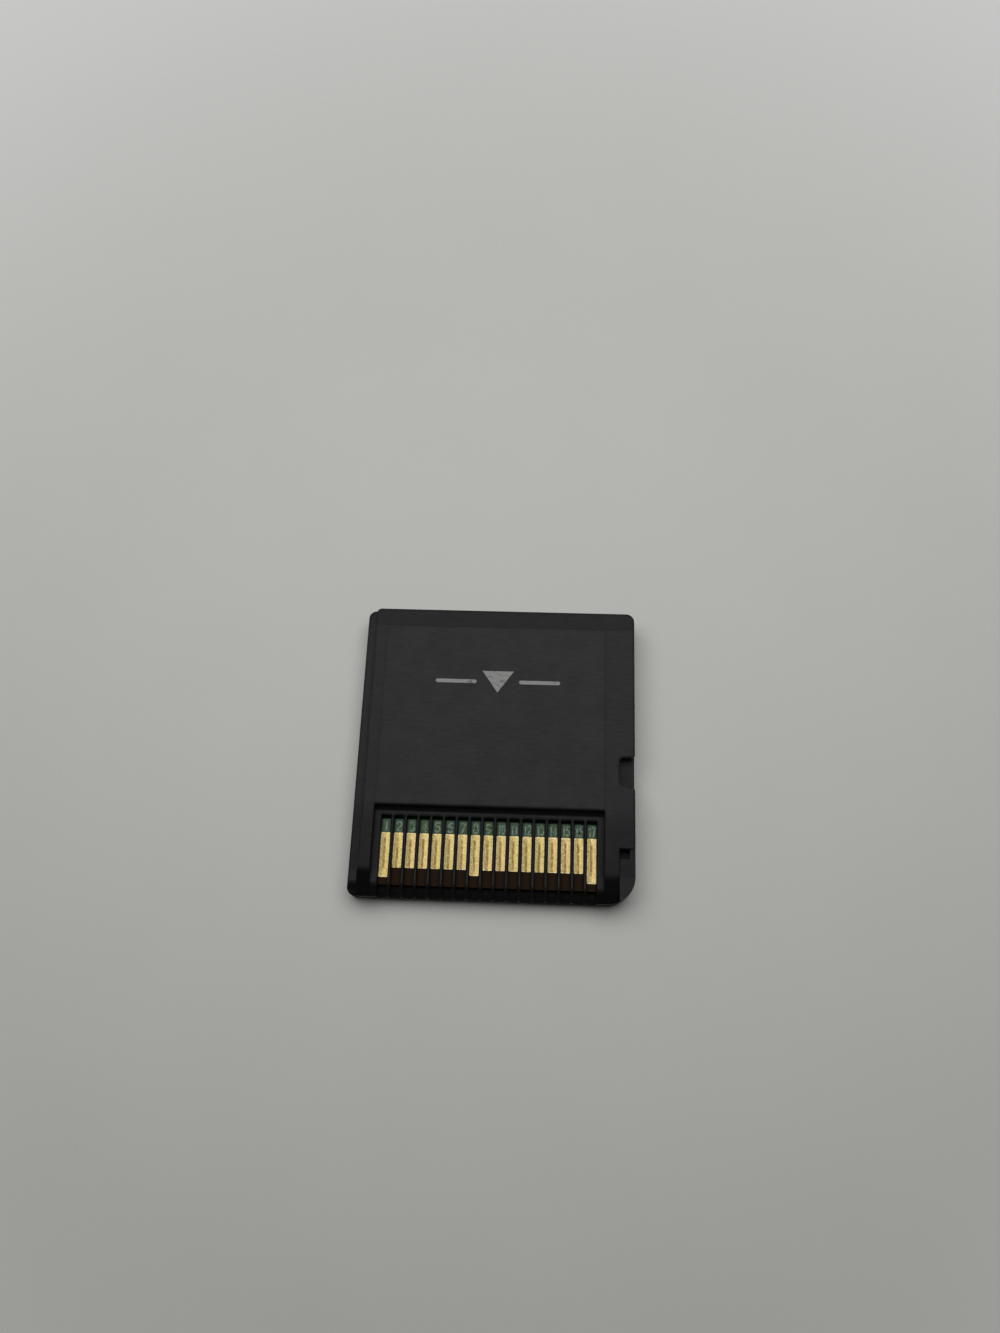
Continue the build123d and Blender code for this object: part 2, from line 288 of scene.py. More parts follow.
# %% Set the camera
IMAGE_HEIGHT = 1333
SENSOR = 36.0
FOCAL_PIXELS = 1000.0
CLIP_NEAR, CLIP_FAR = 0.005, 20.0
camera_place = Vector((4.80, -28.13, 119.06)) * MM
camera_aim = Vector((0.04, 11.49, 0.0)) * MM
camera_turn = math.radians(-5.0)
scene = bpy.context.scene


def add_object(name, data):
    """Put a camera, a lamp or a mesh into the scene, at the origin."""
    thing = bpy.data.objects.new(name, data)
    scene.collection.objects.link(thing)
    return thing


def aim(thing, place, target, turn=0.0):
    """Stand a thing at a place so that it looks at a target, turned about the line between them."""
    look = (target - place).to_track_quat("-Z", "Y").to_matrix()
    thing.matrix_world = (look @ Matrix.Rotation(turn, 3, "Z")).to_4x4()
    thing.location = place


camera_data = bpy.data.cameras.new("camera")
camera_data.sensor_width = SENSOR
camera_data.lens = SENSOR * FOCAL_PIXELS / IMAGE_HEIGHT
camera_data.clip_start = CLIP_NEAR
camera_data.clip_end = CLIP_FAR
camera = add_object("camera", camera_data)
aim(camera, camera_place, camera_aim, camera_turn)
scene.camera = camera
print("camera lens", round(camera_data.lens, 2), "mm")

# %% [markdown]
# ## Table
#
# The card lies on matt white laminate. A curved backdrop would give low views a plain background, but it
# would also throw light on the card. Here the table fades, far from the card, into an even glow that only
# the eye, mirrors and glass see, so it casts no light into the card's shadow.

# %% Lay the table
TABLE_HALF = 1.5
TABLE_COLOUR = (0.72, 0.725, 0.69)
TABLE_MOTTLE = 0.02
MOTTLE_SIZE = 14
TABLE_ROUGH = 0.6
TABLE_SHEEN = 0.3
FAR_START, FAR_END = 60, 160
FAR_COLOUR = (0.575, 0.580, 0.562, 1)


def table_laminate():
    """Matt white laminate with a very faint mottle. Far from the card it fades into an even backdrop."""
    finish = Finish("table_laminate")
    place = finish.place()
    dark, pale = np.outer((1 - TABLE_MOTTLE, 1 + TABLE_MOTTLE), TABLE_COLOUR)
    mottled = finish.mix(finish.noise(place, MOTTLE_SIZE, detail=4), dark, pale)
    laminate = finish.principled(Base_Color=mottled, Roughness=TABLE_ROUGH, Specular_IOR_Level=TABLE_SHEEN)
    backdrop = finish.node("Emission", (), {"Color": FAR_COLOUR})
    away = finish.node("VectorMath", {"operation": "LENGTH"}, {0: place}, "Value")
    share = finish.rise(away, FAR_START, FAR_END) * finish.seen()
    return finish.close(finish.node("MixShader", (), {0: share, 1: laminate, 2: backdrop}))


corners = TABLE_HALF * np.array([(-1, -1, 0), (1, -1, 0), (1, 1, 0), (-1, 1, 0)])
table_mesh = bpy.data.meshes.new("table")
table_mesh.from_pydata(corners.tolist(), [], [(0, 1, 2, 3)])
table_mesh.materials.append(table_laminate())
table = add_object("table", table_mesh)
print("table", 2 * TABLE_HALF, "m across")

# %% [markdown]
# ## Light
#
# Charcoal plastic has almost no colour of its own, so what it mirrors is what draws it. One large soft
# lamp hangs overhead, a little towards the far side of the table, and the rest of the room is dim: level
# faces mirror the lamp, while slopes that tip towards the viewer mirror the dim room and go black. Near
# the horizon the room turns to the backdrop's colour, again only where it is seen or mirrored, and so
# meets the table without a line.

# %% Paint the room
DIM_ROOM = 0.05
PALE_END, DIM_START = 0.10, 0.48

scene.view_settings.view_transform = "Standard"
world = bpy.data.worlds.new("room")
world.use_nodes = True
scene.world = world
room = Graph(world.node_tree)
up = room.parts(room.node("TexCoord", output="Generated"))[2]
pale = room.fall(up, PALE_END, DIM_START) * room.seen()
level = DIM_ROOM + (1 - DIM_ROOM) * pale
background = room.node("Background", (), {"Color": FAR_COLOUR, "Strength": level})
room.node("OutputWorld", (), {"Surface": background})
print("room of", len(room.tree.nodes), "nodes, dim level", DIM_ROOM)

# %% Hang the lamp
LAMP_WATTS = 0.40
LAMP_WIDTH, LAMP_DEPTH = 0.36, 0.20
lamp_place = Vector((-0.006, 0.076, 0.195))

lamp_data = bpy.data.lights.new("window", "AREA")
lamp_data.energy = LAMP_WATTS
lamp_data.shape = "RECTANGLE"
lamp_data.size = LAMP_WIDTH
lamp_data.size_y = LAMP_DEPTH
lamp = add_object("window", lamp_data)
aim(lamp, lamp_place, Vector())
lamp.visible_camera = False
print("lamp", LAMP_WATTS, "W at", tuple(round(v, 3) for v in lamp_place))

# %% [markdown]
# ## Charcoal plastic
#
# The two shells are moulded in a steel tool with a fine spark-eroded texture. The texture is far smaller
# than a pixel, so it works mostly as roughness, with a grain that shows in close views. The strip at the
# grip edge is darker. The latch notch and the contact end with its comb take a near-black tone that is
# painted shade: it darkens their recesses and slopes, and a line along the window's upper edge. The sill
# under the comb and the upper half of its header, which nothing touches, keep the coarsest texture. It
# scatters the lamp's light, so they look blackest. One painted picture could hold these zones, but shares
# worked out from the place on the card stay sharp at any distance and follow the solids.

# %% Zones of the contact side
SOFT = 0.1
GRIP_STRIP = 2.3
GRIP_SHARE = 0.7
COMB_MARGIN = 0.85
# The comb's share fades out 0.4 mm above the window's upper edge, painting a dark shade line along it.
COMB_RISE, COMB_SOFT = 3.05, 0.4
CONTACT_SHADE_START, CONTACT_SHADE_END = 0.8, 4.0
LATCH_LEFT, LATCH_RIGHT = 14.7, 16.2
LATCH_LOW, LATCH_HIGH, LATCH_FLOOR = -4.1, -0.6, 2.46
shells_part = box_mm("back_shell")[0][2]
grip_low = cad_high.y / MM - GRIP_STRIP
comb_left = pad_boxes[0, 0, 0] - COMB_MARGIN
comb_right = pad_boxes[-1, 1, 0] + COMB_MARGIN
comb_high = pad_high + COMB_RISE


def across_comb(finish, x):
    """1 between the two ends of the comb, and 0 beside them."""
    return finish.band(x, comb_left, comb_right, SOFT)


# Painted shade: the near-black tone darkens the comb, the notch floor and the contact end.
def rubbed_zone(finish, x, y, z):
    """1 in the comb, the latch notch and towards the contact edge, less at the grip edge, and 0 elsewhere."""
    upper = finish.rise(z, shells_part - SOFT, shells_part)
    contact_end = finish.fall(y, pad_high + CONTACT_SHADE_START, pad_high + CONTACT_SHADE_END)
    grip = finish.rise(y, grip_low, grip_low + SOFT) * GRIP_SHARE
    notch = finish.band(x, LATCH_LEFT, LATCH_RIGHT, SOFT) * finish.band(y, LATCH_LOW, LATCH_HIGH, SOFT)
    notch = notch * finish.fall(z, LATCH_FLOOR + SOFT / 2, LATCH_FLOOR + SOFT)
    comb = across_comb(finish, x) * finish.fall(y, comb_high, comb_high + COMB_SOFT)
    return upper * finish.largest(contact_end + grip, notch, comb)


print("comb", round(comb_right - comb_left, 2), "mm wide, grip strip from", round(grip_low, 2), "mm up")

# %% Coarse and smooth places
HEADER_START, HEADER_END, HEADER_SOFT = 2.55, 3.10, 0.15
HEADER_DEEP, HEADER_SHALLOW = 0.6, 0.4
HEADER_ROUGH = 0.45
SILL_DEPTH = 0.3
SILL_ROUGH = 0.34
SLOPE_START, SLOPE_SOFT = 4.0, 1.0
SLOPE_SMOOTH = 0.12
slope_high = pad_high - SLOPE_START


def coarse_zone(finish, x, y, z):
    """Extra roughness: on the header's upper half and the sill, and below 0 on the lead-in slopes."""
    header = finish.band(y, pad_high + HEADER_START, pad_high + HEADER_END, HEADER_SOFT)
    deep = finish.fall(z, face_top - HEADER_DEEP, face_top - HEADER_SHALLOW)
    header = header * across_comb(finish, x) * deep
    low = finish.fall(z, board_top - SILL_DEPTH, board_top)
    sill = finish.fall(y, board_low[1] - SOFT, board_low[1]) * low
    slopes = finish.fall(y, slope_high - SLOPE_SOFT, slope_high) * (1 - low)
    return header * HEADER_ROUGH + sill * SILL_ROUGH - slopes * SLOPE_SMOOTH


print("header", HEADER_ROUGH, "and sill", SILL_ROUGH, "rougher, lead-in slopes", SLOPE_SMOOTH, "smoother")

# %% [markdown]
# Years of sliding in and out leave hairline scratches, mostly along the way the card slides, and wear the
# edges a little paler. A scratch is noise stretched into long thin clouds, of which only the highest tops
# are kept. Three such layers lie at different turns, and a patchy noise decides where they show, because
# a hand or a slot never scratches evenly.

# %% Scratches and worn edges
SCRATCH_TURNS = (1.45, 1.72, 0.2)
SCRATCH_SIZE = (7.0, 0.07, 7.0)
SCRATCH_TOPS = (0.74, 0.84)
SCRATCH_APART = 13.0
PATCH_SIZE = 3.5
SCRATCHED_PATCHES = (0.48, 0.70)
WORN_PATCHES = (0.30, 0.60)
WORN_EDGES = (0.01, 0.16)


def scratches(finish, place, patch):
    """The tops of three stretched noises, added up and kept only in some patches."""
    scratch = 0.0
    for index, turn in enumerate(SCRATCH_TURNS):
        streak = finish.noise(place, SCRATCH_SIZE, turn=turn, shift=SCRATCH_APART * index, detail=0)
        scratch = scratch + finish.rise(streak, *SCRATCH_TOPS)
    return scratch * finish.rise(patch, *SCRATCHED_PATCHES)


def worn_edges(finish, rounded, patch):
    """1 on edges that have lost their texture, in more patches than the scratches."""
    return finish.edges(rounded, *WORN_EDGES) * finish.rise(patch, *WORN_PATCHES)


print("scratches in", len(SCRATCH_TURNS), "directions")

# %% [markdown]
# The tone itself is cloudy and very dark, a little paler on the raised panel than on the rim around it.
# Smudges and short streaks change the roughness by a tenth or so. The edges are rounded for the light by
# the Bevel node, widely outside and only slightly in the comb, where the ribs are narrow.

# %% Plastic of the shells
# Near-black painted shade for the comb, notch and contact end; at less strength it darkens the grip strip.
SHADE_GRIP_DARK, SHADE_GRIP_PALE = (0.0015, 0.0015, 0.0016), (0.0030, 0.0030, 0.0030)
RIM_DARK, RIM_PALE = (0.0100, 0.0100, 0.0101), (0.0170, 0.0170, 0.0168)
PANEL_DARK, PANEL_PALE = (0.0118, 0.0118, 0.0119), (0.0228, 0.0228, 0.0226)
SCRATCH_GREY, EDGE_GREY = (0.030, 0.030, 0.030), (0.022, 0.022, 0.023)
SCRATCH_SHARE, EDGE_SHARE = 0.4, 0.35
PLASTIC_SHEEN = 0.22
PLASTIC_ROUGH = 0.50
CLOUD_SIZE, CLOUD_ROUGH = 3.2, 0.18
CLOUD_TONES = (0.3, 0.7)
SMEAR_SIZE, SMEAR_TURN, SMEAR_ROUGH = (1.7, 0.16, 1.7), 0.05, 0.30
GRAIN_SIZE, GRAIN_ROUGH, GRAIN_DEPTH = 0.11, 0.14, 0.0035
EDGE_SMOOTH = 0.08
EDGE_ROUND, COMB_ROUND = 0.42, 0.03
NARROW_RISE, NARROW_SOFT = 1.75, 0.2
PANEL_STEP, PANEL_SOFT = 0.02, 0.01
panel_low = face_top - PANEL_STEP
narrow_high = pad_high + NARROW_RISE


def plastic_tone(finish, cloud, x, y, z):
    """A cloudy tone for each zone: the rim, the raised panel, and near black for painted shade and the grip.
    """
    clouded = finish.rise(cloud, *CLOUD_TONES)
    rim = finish.mix(clouded, RIM_DARK, RIM_PALE)
    panel = finish.mix(clouded, PANEL_DARK, PANEL_PALE)
    # Near-black tone: painted shade in the comb, notch and contact end, and a darker grip strip.
    rubbed = finish.mix(clouded, SHADE_GRIP_DARK, SHADE_GRIP_PALE)
    tone = finish.mix(finish.rise(z, panel_low - PANEL_SOFT, panel_low), rim, panel)
    return finish.mix(rubbed_zone(finish, x, y, z), tone, rubbed)


def moulded_plastic():
    """Charcoal plastic: cloudy tone and roughness by zone, fine grain, scratches, and paler edges."""
    finish = Finish("moulded_plastic")
    place = finish.place()
    x, y, z = finish.parts(place)
    cloud = finish.noise(place, CLOUD_SIZE, detail=4)
    grain = finish.noise(place, GRAIN_SIZE, detail=1)
    smear = finish.noise(place, SMEAR_SIZE, turn=SMEAR_TURN, shift=60.0)
    patch = finish.noise(place, PATCH_SIZE, shift=40.0, detail=3)
    narrow = finish.fall(y, narrow_high - NARROW_SOFT, narrow_high)
    rounded = finish.rounded(EDGE_ROUND + (COMB_ROUND - EDGE_ROUND) * narrow)
    worn = worn_edges(finish, rounded, patch)
    tone = plastic_tone(finish, cloud, x, y, z)
    tone = finish.mix(scratches(finish, place, patch) * SCRATCH_SHARE, tone, SCRATCH_GREY)
    tone = finish.mix(worn * EDGE_SHARE, tone, EDGE_GREY)
    rough = PLASTIC_ROUGH + coarse_zone(finish, x, y, z) + cloud.swing(CLOUD_ROUGH)
    rough = rough + smear.swing(SMEAR_ROUGH) + grain.swing(GRAIN_ROUGH) - worn * EDGE_SMOOTH
    return finish.surface(
        Base_Color=tone,
        Roughness=rough,
        Specular_IOR_Level=PLASTIC_SHEEN,
        Normal=finish.bump(grain, GRAIN_DEPTH, rounded),
    )


shell_finish = moulded_plastic()

# %% [markdown]
# ## Board
#
# Above the pads the board wears green solder mask. Each pad's copper goes on upwards under it and makes a
# paler green stripe. Just under the comb's header the mask turns near black and loses its gloss, a band
# of painted shade. Below the mask's edge the board is bare brown laminate, with the weave of its glass
# cloth just showing. All of it follows the pads, so the stripes come from the distance to the nearest
# pad's middle: one remainder of a division repeats a single stripe for all seventeen.

# %% Stripes and weave
WEAVE = 0.42


def across_pads(x):
    """Signed distance from the middle of the nearest pad, in millimetres."""
    return (x - (row_x - pitch / 2)) % pitch - pitch / 2


def thread(along):
    """A triangle wave from 0 to 1 that repeats with each thread of the cloth."""
    return abs((along * (1 / WEAVE)) % 1 - 0.5) * 2


def glass_weave(x, y):
    """1 where a thread of one direction lies on top of the other, and 0 where neither does."""
    weft, warp = thread(x), thread(y)
    return weft * (1 - warp) + warp * (1 - weft)


print("stripes every", round(pitch, 3), "mm, threads every", WEAVE, "mm")

# %% [markdown]
# A little noise on the mask's edge keeps it from looking ruled. The mask is a coat of clear lacquer with
# colour in it, so it gets a thin glossy coat of its own, while the laminate stays dull. Where the board
# is cut, it shows the darker straw of its core.

# %% Laminate and solder mask
MASK_DARK = (0.006, 0.032, 0.020)
MASK_COPPER = (0.036, 0.106, 0.058)
MASK_OLIVE = (0.068, 0.110, 0.028)
# Near-black mask colour of the painted shade under the comb's header.
MASK_SHADE = (0.0012, 0.0050, 0.0032)
BARE_BROWN = (0.0150, 0.0058, 0.0008)
BARE_STRAW = (0.0245, 0.0105, 0.0018)
CUT_EDGE = (0.020, 0.013, 0.007)
TINT_SIZE, TINT_SPAN = 1.4, (0.35, 0.65)
RAGGED_SIZE, RAGGED_EDGE = 0.12, 0.08
TRACE_INNER, TRACE_OUTER = 0.39, 0.47
SHADE_START, SHADE_END = 1.48, 1.68
MASK_START, MASK_END = -0.02, 0.04
WEAVE_TONE, TINT_TONE = 0.5, 0.3
LEVEL_SPAN = (0.4, 0.6)
BARE_ROUGH, MASK_SMOOTH, SHADE_ROUGH, RAGGED_ROUGH = 0.55, 0.20, 0.50, 0.12
MASK_GLOSS, MASK_GLOSS_ROUGH = 0.25, 0.3
BOARD_SHEEN = 0.08
MASK_HEIGHT, TRACE_HEIGHT, WEAVE_HEIGHT, RELIEF_DEPTH = 0.4, 0.6, 0.25, 0.02


def board_laminate():
    """Green mask with paler copper stripes above the pads, bare woven laminate below, straw at cut edges."""
    finish = Finish("board_laminate_dressed")
    place = finish.place()
    x, y = finish.parts(place)[:2]
    tint = finish.noise(place, TINT_SIZE, detail=3)
    ragged = finish.noise(place, RAGGED_SIZE)
    copper = finish.fall(abs(across_pads(x)), TRACE_INNER, TRACE_OUTER)
    # Painted shade: a near-black band of mask just under the comb's header.
    shade = finish.rise(y, pad_high + SHADE_START, pad_high + SHADE_END)
    masked = finish.rise(y + ragged.swing(RAGGED_EDGE), pad_high + MASK_START, pad_high + MASK_END)
    level = finish.rise(abs(finish.parts(finish.normal())[2]), *LEVEL_SPAN)
    weave = glass_weave(x, y)
    stripe = finish.mix(finish.rise(tint, *TINT_SPAN), MASK_COPPER, MASK_OLIVE)
    mask = finish.mix(shade, finish.mix(copper, MASK_DARK, stripe), MASK_SHADE)
    bare = finish.mix(weave * WEAVE_TONE + tint * TINT_TONE, BARE_BROWN, BARE_STRAW)
    rough = BARE_ROUGH - masked * MASK_SMOOTH + shade * SHADE_ROUGH + ragged.swing(RAGGED_ROUGH)
    relief = masked * (MASK_HEIGHT + copper * TRACE_HEIGHT) + (1 - masked) * weave * WEAVE_HEIGHT
    return finish.surface(
        Base_Color=finish.mix(level, CUT_EDGE, finish.mix(masked, bare, mask)),
        Roughness=rough,
        Specular_IOR_Level=BOARD_SHEEN,
        Coat_Weight=masked * (1 - shade) * MASK_GLOSS,
        Coat_Roughness=MASK_GLOSS_ROUGH,
        Normal=finish.bump(relief, RELIEF_DEPTH),
    )


board_finish = board_laminate()

# %% [markdown]
# ## Worn gold
#
# The pads are thin gold over nickel. The console's springs land near their upper end and wipe along their
# middle, so each has a thin brown stripe there, broken up and a little different from pad to pad. The
# stripe is a distance from a line, as on the board. A noise bends the line, and another one breaks it.

# %% Where the springs wipe
STRIPE_MIDDLE = -0.05
STRIPE_INNER, STRIPE_OUTER = 0.07, 0.20
STRIPE_BEND = 0.18
STRIPE_BREAKS = (0.36, 0.54)
LANDING = 0.8
LANDING_SOFT = 0.3


def spring_wear(finish, off, y, wander, blotch):
    """1 on a bent and broken stripe along the pads, from their lower ends to where the springs land."""
    distance = abs(off - STRIPE_MIDDLE + wander.swing(STRIPE_BEND))
    along = finish.band(y, pad_low, pad_high - LANDING, LANDING_SOFT)
    return finish.fall(distance, STRIPE_INNER, STRIPE_OUTER) * along * finish.rise(blotch, *STRIPE_BREAKS)


print("stripe", 2 * STRIPE_OUTER, "mm wide, up to", LANDING, "mm below the upper ends of the pads")

# %% [markdown]
# The plating is yellower on some pads and rosier on others, and mottled all over by specks about a
# tenth of a millimetre across. Light and shade across each pad are painted: duller left of the stripe,
# brighter right of it, and a pale glint on its rim. Five noises of very different sizes and stretches
# say all that, and one of them, drawn out along the pads, is the brushed grain.

# %% Gold of the contacts
GOLD_LEMON, GOLD_ROSE = (0.72, 0.58, 0.21), (0.79, 0.575, 0.26)
# The dull gold is painted shade on each pad's left; the pale gold is a painted rim glint and pale specks.
GOLD_SHADED_DULL = (0.43, 0.31, 0.10)
GOLD_GLINT_PALE = (0.98, 0.88, 0.57)
GOLD_WORN = (0.25, 0.150, 0.034)
TINT_SPREAD, TINT_SPLIT = (2.4, 9.0, 1.0), (0.38, 0.62)
WANDER_SIZE = (0.9, 0.55, 1.0)
BRUSH_SIZE = (0.05, 2.4, 1.0)
BLOTCH_SIZE, BLOTCH_SPAN = (0.20, 0.30, 1.0), (0.38, 0.60)
SPECK_SIZE = (0.10, 0.12, 1.0)
GLINT_SPECKS, PALE_SPECKS, DARK_SPECKS = (0.35, 0.55), (0.56, 0.68), (0.30, 0.42)
# Span and bend of the painted light across each pad, from its shaded left to its lit right.
LIT_SIDE_SPAN, LIT_SIDE_BEND = (-0.20, 0.16), 0.25
LIT_SIDE_SHARE, BLOTCH_SHARE = 0.7, 0.3
PALE_SHARE, WEAR_SHARE, DARK_SHARE = 0.5, 0.78, 0.4
GLINT_WIDTH, GLINT_EDGES = 0.20, (0.003, 0.04)
GOLD_ROUGH, BRUSH_ROUGH, WEAR_ROUGH = 0.50, 0.22, 0.10
BRUSH_HEIGHT, SPECK_HEIGHT, WEAR_HEIGHT, GOLD_DEPTH = 0.5, 0.3, 0.4, 0.0022
PAD_ROUND = 0.03


def worn_gold():
    """Satin gold, mottled, with painted shade and rim glints, and a broken brown stripe where springs wipe.
    """
    finish = Finish("worn_gold")
    place = finish.place()
    x, y = finish.parts(place)[:2]
    off = across_pads(x)
    tint = finish.noise(place, TINT_SPREAD, shift=3.0, detail=1)
    wander = finish.noise(place, WANDER_SIZE)
    brush = finish.noise(place, BRUSH_SIZE)
    blotch = finish.noise(place, BLOTCH_SIZE, shift=7.0, detail=3)
    speck = finish.noise(place, SPECK_SIZE, shift=23.0, detail=1)
    wear = spring_wear(finish, off, y, wander, blotch)
    # Painted light and shade: each pad darker on its left, brighter on its right, with random blotches.
    lit_side_and_blotch = finish.rise(off + wander.swing(LIT_SIDE_BEND), *LIT_SIDE_SPAN) * LIT_SIDE_SHARE
    lit_side_and_blotch = lit_side_and_blotch + finish.rise(blotch, *BLOTCH_SPAN) * BLOTCH_SHARE
    # Painted highlight: a pale glint along each pad's rounded rim, broken up by specks.
    rim = finish.edges(finish.rounded(GLINT_WIDTH), *GLINT_EDGES) * finish.rise(speck, *GLINT_SPECKS)
    clean = finish.mix(finish.rise(tint, *TINT_SPLIT), GOLD_LEMON, GOLD_ROSE)
    colour = finish.mix(lit_side_and_blotch, GOLD_SHADED_DULL, clean)
    colour = finish.mix(rim, colour, GOLD_GLINT_PALE)
    colour = finish.mix(finish.rise(speck, *PALE_SPECKS) * PALE_SHARE, colour, GOLD_GLINT_PALE)
    colour = finish.mix(wear * WEAR_SHARE, colour, GOLD_WORN)
    colour = finish.mix(finish.fall(speck, *DARK_SPECKS) * DARK_SHARE, colour, GOLD_WORN)
    height = brush * BRUSH_HEIGHT + speck * SPECK_HEIGHT - wear * WEAR_HEIGHT
    return finish.surface(
        Base_Color=colour,
        Metallic=1.0,
        Roughness=GOLD_ROUGH + brush.swing(BRUSH_ROUGH) + wear * WEAR_ROUGH,
        Normal=finish.bump(height, GOLD_DEPTH, finish.rounded(PAD_ROUND)),
    )


gold_finish = worn_gold()

# %% [markdown]
# ## Parts inside the shells
#
# The chips, their legs and the small parts sit under the board. Nobody sees them until the shells come
# off, and then they should look like what they are: sandy epoxy, dull tin, and fired ceramic. All three
# are speckled, so one function makes them, and only the grain, the tones and the gloss differ.

# %% Epoxy, tin and ceramic
SPECKLE_SPAN = (0.3, 0.7)
SPECKLE_ROUGH = 0.2


def speckled(name, size, dark, pale, rough, depth, **sockets):
    """A finish whose tone, roughness and height follow one noise of the given grain size."""
    finish = Finish(name)
    grain = finish.noise(finish.place(), size, detail=3)
    return finish.surface(
        Base_Color=finish.mix(finish.rise(grain, *SPECKLE_SPAN), dark, pale),
        Roughness=rough + grain.swing(SPECKLE_ROUGH),
        Normal=finish.bump(grain, depth),
        **sockets,
    )


epoxy_finish = speckled(
    "moulded_epoxy",
    size=0.08,
    dark=(0.010, 0.010, 0.010),
    pale=(0.028, 0.028, 0.027),
    rough=0.6,
    depth=0.004,
)
tin_finish = speckled(
    "dull_tin",
    size=0.15,
    dark=(0.50, 0.50, 0.48),
    pale=(0.68, 0.68, 0.66),
    rough=0.35,
    depth=0.003,
    Metallic=1.0,
)
ceramic_finish = speckled(
    "fired_ceramic",
    size=0.10,
    dark=(0.27, 0.18, 0.11),
    pale=(0.40, 0.30, 0.20),
    rough=0.45,
    depth=0.003,
)

# %% [markdown]
# Each solid came with a plain material named after its slot. Looking the new finish up by that name
# dresses all twenty-nine solids without listing them.

# %% Dress the solids
finishes = {
    "shell_plastic": shell_finish,
    "board_laminate": board_finish,
    "gold_plating": gold_finish,
    "chip_epoxy": epoxy_finish,
    "tinned_metal": tin_finish,
    "chip_ceramic": ceramic_finish,
}
for solid in nodes.values():
    for slot in solid.material_slots:
        slot.material = finishes[slot.material.name.split(".")[0]]
print("dressed", len(nodes), "solids in", len(finishes), "finishes")

# %% [markdown]
# ## Pin numbers on the board
#
# White legends on a board are plotted, not set in type: a round pen of one width draws each digit in a
# few strokes. A font would look too neat, and its outlines are hard to thicken. So a digit here is a list
# of paths, and a stroke is a flat bar carried along a path, with its ends rounded by letting the bar's
# half-width follow a circle past the path's first and last points.

# %% Strokes
ARC_STEPS = 24
CAP_STEPS = 6
CAP_REACH = 0.999


def arc(middle, radii, start, end, steps=ARC_STEPS):
    """Points on an ellipse about a middle, from one angle in degrees to another."""
    angle = np.radians(np.linspace(start, end, steps))
    return np.array(middle) + np.array(radii) * np.stack([np.cos(angle), np.sin(angle)], axis=1)


def outward(end, before):
    """Direction of one length in which a path leaves its end, from the point before it."""
    return (end - before) / np.linalg.norm(end - before)


def upright(left, right, low, high):
    """Rings of four corners: the left and right sides of a strip, at one height and at another."""
    lower, upper = np.full((len(left), 1), low), np.full((len(left), 1), high)
    corners = [(left, lower), (right, lower), (right, upper), (left, upper)]
    return np.stack([np.hstack(corner) for corner in corners], axis=1)


def stroke(path, pen, low, high):
    """A flat bar of pen width carried along a path, from one height to another.

    Before the first point and past the last, the path goes straight on by half a pen, and there the
    half-width is the square root of the pen's radius squared less the distance squared, which draws the
    round end.
    """
    radius = pen / 2
    past = radius * CAP_REACH * np.sin(np.linspace(0, math.pi / 2, CAP_STEPS + 1))[1:]
    head = path[0] + past[::-1, None] * outward(path[0], path[1])
    tail = path[-1] + past[:, None] * outward(path[-1], path[-2])
    line = np.concatenate([head, path, tail])
    cap = np.sqrt(radius**2 - past**2)
    half = np.concatenate([cap[::-1], np.full(len(path), radius), cap])[:, None]
    along = np.gradient(line, axis=0)
    along /= np.linalg.norm(along, axis=1)[:, None]
    side = np.stack([along[:, 1], -along[:, 0]], axis=1) * half
    return upright(line - side, line + side, low, high)


print("arcs of", ARC_STEPS, "points, round ends of", CAP_STEPS, "steps")

# %% [markdown]
# A bar is a row of rings with four corners each. Its faces are the quads between one ring and the next,
# plus the first and last ring as its ends. Counted as whole arrays, that is a few additions, and any
# number of bars can go into one mesh by shifting the counts.

# %% Bars into a mesh
RING = 4


def bar_faces(count, start):
    """Corners of the quads between rings, from a first corner's number on, with both ends closed."""
    ring = np.arange(RING)
    after = (ring + 1) % RING
    base = start + RING * np.arange(count - 1)[:, None]
    sides = np.stack([base + ring, base + after, base + RING + after, base + RING + ring], axis=2)
    ends = np.stack([start + ring[::-1], start + RING * (count - 1) + ring])
    return np.concatenate([sides.reshape(-1, RING), ends])


def add_piece(name, bars, material):
    """One mesh of several bars, given in millimetres, that rides with the card."""
    starts = np.cumsum([0] + [RING * len(bar) for bar in bars[:-1]])
    points = np.concatenate([bar.reshape(-1, 3) for bar in bars]) * MM
    faces = np.concatenate([bar_faces(len(bar), start) for bar, start in zip(bars, starts)])
    mesh = bpy.data.meshes.new(name)
    mesh.from_pydata(points.tolist(), [], faces.tolist())
    mesh.materials.append(material)
    piece = add_object(name, mesh)
    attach(piece, "root")
    print(name, len(bars), "bars,", len(faces), "faces")
    return piece


print("a bar of two rings has", len(bar_faces(2, 0)), "faces")

# %% [markdown]
# The digits fill a box one high about its middle. Straight ones are a few corner points, and round ones
# are arcs. A nine is a six turned half round, which is a six with its signs changed.

